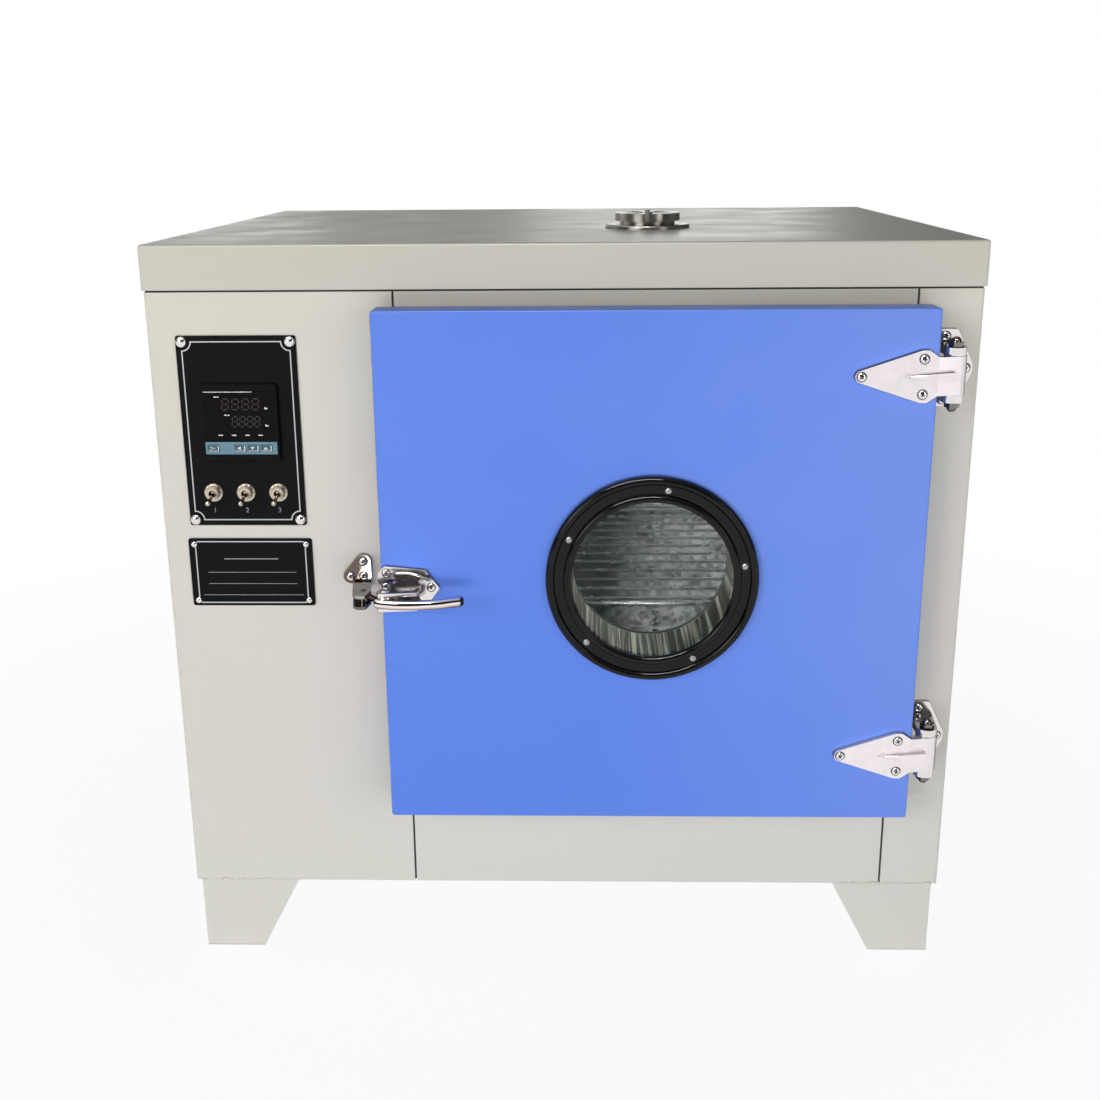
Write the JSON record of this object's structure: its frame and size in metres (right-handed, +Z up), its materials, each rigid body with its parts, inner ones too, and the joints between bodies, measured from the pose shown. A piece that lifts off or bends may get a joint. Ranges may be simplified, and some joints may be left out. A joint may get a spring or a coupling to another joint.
{
  "type": "laboratory drying oven",
  "caption": "Bench laboratory oven: side control panel, hinged door with round window, latch lever, turning vent, wire shelves and a blower.",
  "frame": {"origin": "centre of the footprint, on the surface that the feet stand on", "axes": "+X to the right as seen from the front, -Y to the front (the door side), +Z up"},
  "size_m": [0.76, 0.7383, 0.7345],
  "materials": {
    "cabinet_paint": "satin",
    "door_paint": "satin",
    "chrome": "polished",
    "nickel": "satin",
    "galvanised": "satin",
    "wire": "polished",
    "steel": "satin",
    "motor_paint": "satin",
    "aluminium": "satin",
    "wool": "matte",
    "silicone": "matte",
    "seal": "matte",
    "bezel_black": "gloss",
    "case_black": "satin",
    "panel_black": "satin",
    "key_plastic": "satin",
    "terminal_plastic": "matte",
    "glass": "gloss",
    "display": "gloss"
  },
  "bodies": {
    "root": {"left_wrapper": "cabinet_paint", "right_wrapper": "cabinet_paint", "front_frame": "cabinet_paint", "back_panel": "cabinet_paint", "top_cover": "cabinet_paint", "seam_seals": "seal", "bottom_pan": "galvanised", "feet": "cabinet_paint", "compartment_wall": "galvanised", "chamber_liner": "galvanised", "chamber_floor": "galvanised", "shelf_rails": "galvanised", "heating_elements": "steel", "cabinet_insulation": "wool", "blower_housing": "galvanised", "blower_motor": "motor_paint", "motor_bracket": "steel", "temperature_probe": "steel", "power_relay": "aluminium", "terminal_block": "terminal_plastic", "cable_gland": "case_black", "vent_pipe": "steel", "vent_base": "chrome", "control_plate": "panel_black", "name_plate": "panel_black", "panel_screws": "chrome", "controller_case": "case_black", "controller_lens": "display", "toggle_switches": "nickel", "hinge_brackets": "chrome", "hinge_pins": "chrome", "latch_strike": "chrome", "strike_roller": "chrome", "cabinet_screws": "chrome"},
    "door": {"door_shell": "door_paint", "door_inner_panel": "galvanised", "door_insulation": "wool", "door_gasket": "silicone", "window_bezel": "bezel_black", "window_screws": "steel", "window_panes": "glass", "window_barrel": "galvanised", "window_inner_ring": "steel", "hinge_leaves": "chrome", "latch_base": "chrome", "latch_pin": "chrome", "door_screws": "chrome"},
    "latch_lever": {"latch_lever": "chrome"},
    "vent_rotor": {"vent_rotor": "chrome"},
    "power_lever": {"power_lever": "nickel"},
    "heating_lever": {"heating_lever": "nickel"},
    "blower_lever": {"blower_lever": "nickel"},
    "key_set": {"key_set": "key_plastic"},
    "key_shift": {"key_shift": "key_plastic"},
    "key_down": {"key_down": "key_plastic"},
    "key_up": {"key_up": "key_plastic"},
    "lower_shelf": {"lower_shelf": "wire"},
    "upper_shelf": {"upper_shelf": "wire"},
    "blower_rotor": {"blower_wheel": "aluminium", "motor_shaft": "steel"}
  },
  "joints": [
    {"name": "door_swing", "type": "hinge", "parent": "root", "child": "door", "pos_m": [0.3455, -0.31, 0.4234], "axis": [0, 0, 1], "range_deg": [0, 160]},
    {"name": "lever_turn", "type": "hinge", "parent": "door", "child": "latch_lever", "pos_m": [-0.158, -0.352, 0.408], "axis": [0, 0, -1], "range_deg": [0, 40]},
    {"name": "vent_turn", "type": "hinge", "parent": "root", "child": "vent_rotor", "pos_m": [0.0855, -0.0673, 0.7303], "axis": [0, 0, 1], "range_deg": [0, 45]},
    {"name": "blower_spin", "type": "hinge", "parent": "root", "child": "blower_rotor", "pos_m": [-0.166, -0.045, 0.419], "axis": [1, 0, 0], "continuous": true},
    {"name": "power_toggle", "type": "hinge", "parent": "root", "child": "power_lever", "pos_m": [-0.32795, -0.273, 0.488], "axis": [-1, 0, 0], "range_deg": [0, 26]},
    {"name": "heating_toggle", "type": "hinge", "parent": "root", "child": "heating_lever", "pos_m": [-0.29725, -0.273, 0.488], "axis": [-1, 0, 0], "range_deg": [0, 26]},
    {"name": "blower_toggle", "type": "hinge", "parent": "root", "child": "blower_lever", "pos_m": [-0.26655, -0.273, 0.488], "axis": [-1, 0, 0], "range_deg": [0, 26]},
    {"name": "key_set_press", "type": "slide", "parent": "root", "child": "key_set", "axis": [0, 1, 0], "range_m": [0, 0.0005], "stiffness_N_per_m": 400, "springref_m": -0.0002},
    {"name": "key_shift_press", "type": "slide", "parent": "root", "child": "key_shift", "axis": [0, 1, 0], "range_m": [0, 0.0005], "stiffness_N_per_m": 400, "springref_m": -0.0002},
    {"name": "key_down_press", "type": "slide", "parent": "root", "child": "key_down", "axis": [0, 1, 0], "range_m": [0, 0.0005], "stiffness_N_per_m": 400, "springref_m": -0.0002},
    {"name": "key_up_press", "type": "slide", "parent": "root", "child": "key_up", "axis": [0, 1, 0], "range_m": [0, 0.0005], "stiffness_N_per_m": 400, "springref_m": -0.0002},
    {"name": "lower_shelf_slide", "type": "slide", "parent": "root", "child": "lower_shelf", "axis": [0, -1, 0], "range_m": [0, 0.03]},
    {"name": "upper_shelf_slide", "type": "slide", "parent": "root", "child": "upper_shelf", "axis": [0, -1, 0], "range_m": [0, 0.03]}
  ]
}
